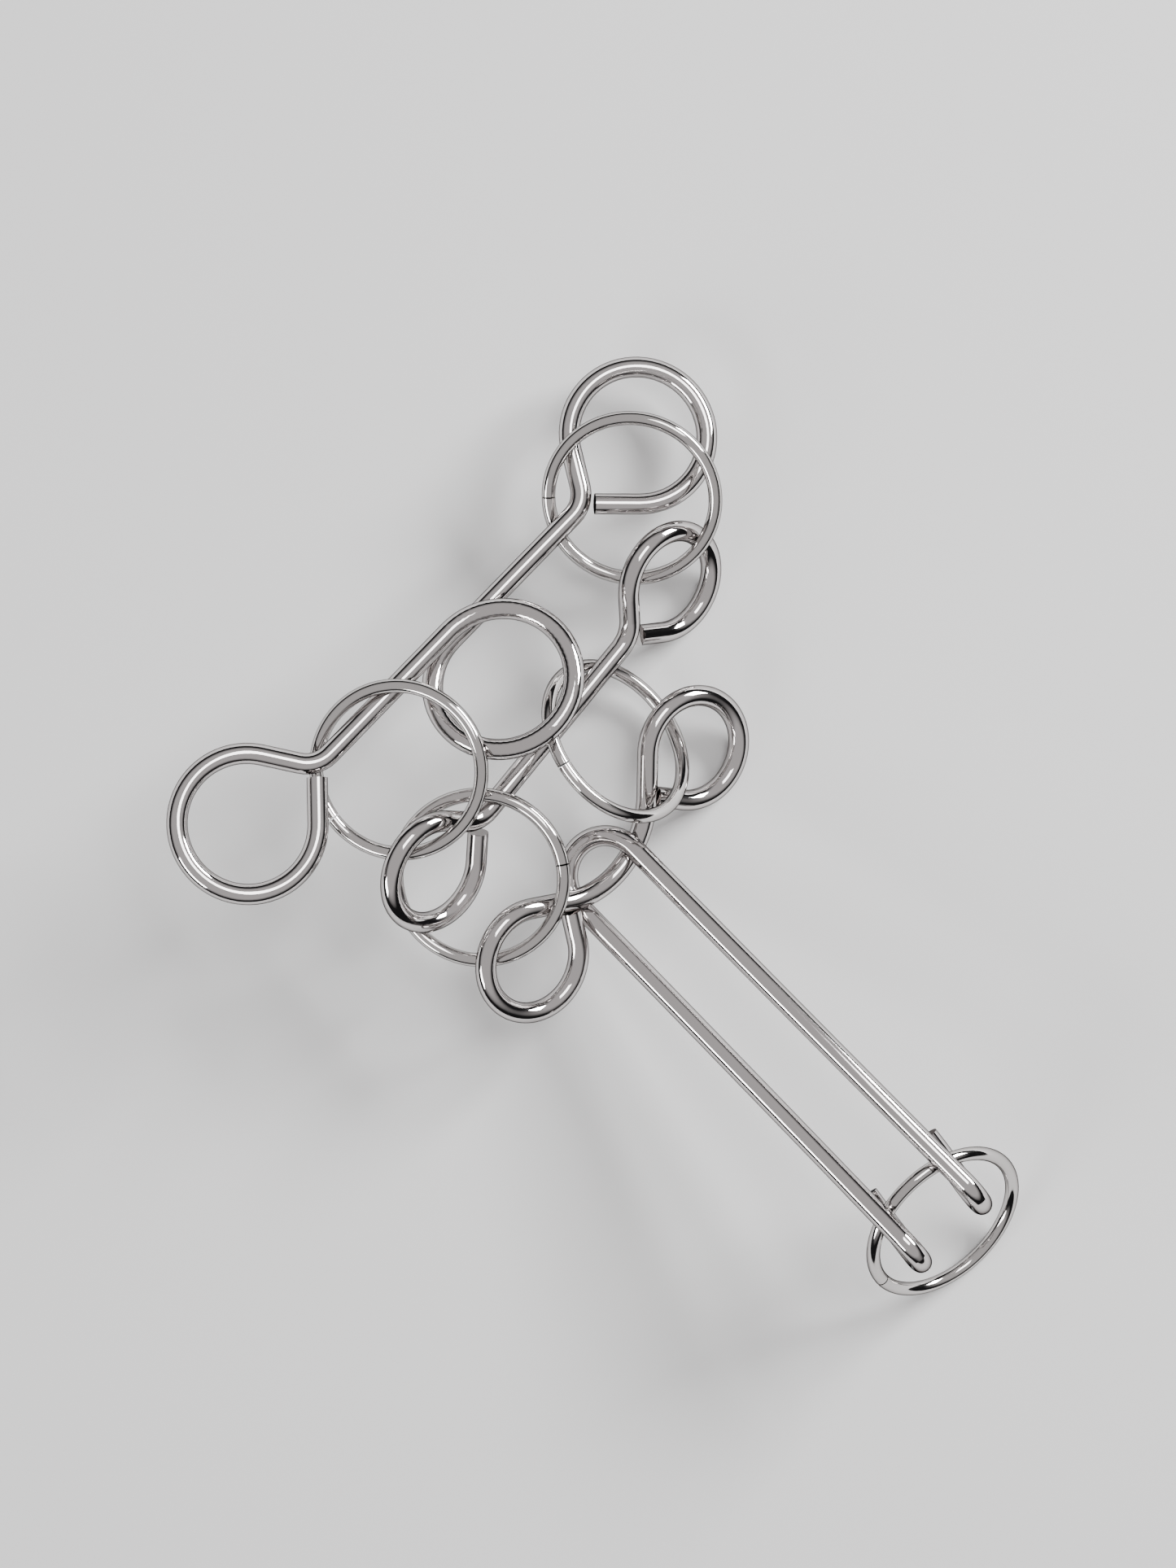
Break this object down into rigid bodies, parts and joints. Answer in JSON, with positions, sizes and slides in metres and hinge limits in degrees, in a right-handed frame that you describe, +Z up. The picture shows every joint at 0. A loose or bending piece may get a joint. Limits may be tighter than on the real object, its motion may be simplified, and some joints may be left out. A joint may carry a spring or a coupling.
{
  "type": "wire disentanglement puzzle",
  "caption": "Bent-wire disentanglement puzzle: looped bars tied by rings into a ladder, with a long U-shaped shuttle loop closed by a ring of its own.",
  "frame": {"origin": "middle of the heap's box in plan, on the surface it lies on", "axes": "+X along the longest rung, +Y from the shuttle's ring towards the longest rung, +Z up"},
  "size_m": [0.1072, 0.1388, 0.0303],
  "materials": {
    "rung_wire": "polished nickel-chrome plate on steel wire",
    "ring_wire": "polished nickel-chrome plate on steel wire"
  },
  "bodies": {
    "long_rung": {"long_rung": "rung_wire"},
    "long_rung_ring_a": {"long_rung_ring_a": "ring_wire"},
    "long_rung_ring_b": {"long_rung_ring_b": "ring_wire"},
    "middle_rung": {"middle_rung": "rung_wire"},
    "middle_rung_ring_a": {"middle_rung_ring_a": "ring_wire"},
    "middle_rung_ring_b": {"middle_rung_ring_b": "ring_wire"},
    "short_rung": {"short_rung": "rung_wire"},
    "shuttle": {"shuttle": "rung_wire"},
    "shuttle_ring": {"shuttle_ring": "ring_wire"}
  },
  "joints": [
    {"name": "long_ring_a_spin", "type": "hinge", "parent": "long_rung", "child": "long_rung_ring_a", "pos_m": [0.03402, 0.05099, 0.01087], "axis": [-0.3149, -0.1729, 0.9333], "continuous": true},
    {"name": "long_ring_b_spin", "type": "hinge", "parent": "long_rung", "child": "long_rung_ring_b", "pos_m": [-0.01998, 0.04663, 0.02242], "axis": [-0.2426, 0.0363, 0.9694], "continuous": true},
    {"name": "middle_rung_swing", "type": "hinge", "parent": "long_rung", "child": "middle_rung", "pos_m": [0.00779, 0.03746, 0.01516], "axis": [0.9722, 0.0728, -0.2224], "range_deg": [-6.8, 11.9]},
    {"name": "middle_ring_a_spin", "type": "hinge", "parent": "middle_rung", "child": "middle_rung_ring_a", "pos_m": [0.00622, 0.02666, 0.01221], "axis": [0.7375, -0.1127, 0.6658], "continuous": true},
    {"name": "middle_ring_b_spin", "type": "hinge", "parent": "middle_rung", "child": "middle_rung_ring_b", "pos_m": [-0.02292, 0.02655, 0.01577], "axis": [-0.1907, -0.053, 0.9802], "continuous": true},
    {"name": "short_rung_swing", "type": "hinge", "parent": "middle_rung", "child": "short_rung", "pos_m": [-0.00597, 0.01508, 0.01116], "axis": [0.9593, -0.0287, -0.2809], "range_deg": [-20.4, 15.3]},
    {"name": "shuttle_swing", "type": "hinge", "parent": "short_rung", "child": "shuttle", "pos_m": [-0.01077, 0.01224, 0.00924], "axis": [0.9765, 0.1258, -0.1748], "range_deg": [-93.5, 9.3]},
    {"name": "shuttle_ring_swing", "type": "hinge", "parent": "shuttle", "child": "shuttle_ring", "pos_m": [-0.00856, -0.05332, 0.01892], "axis": [0.9873, -0.1132, -0.1114], "range_deg": [-26.3, 98.6]}
  ]
}
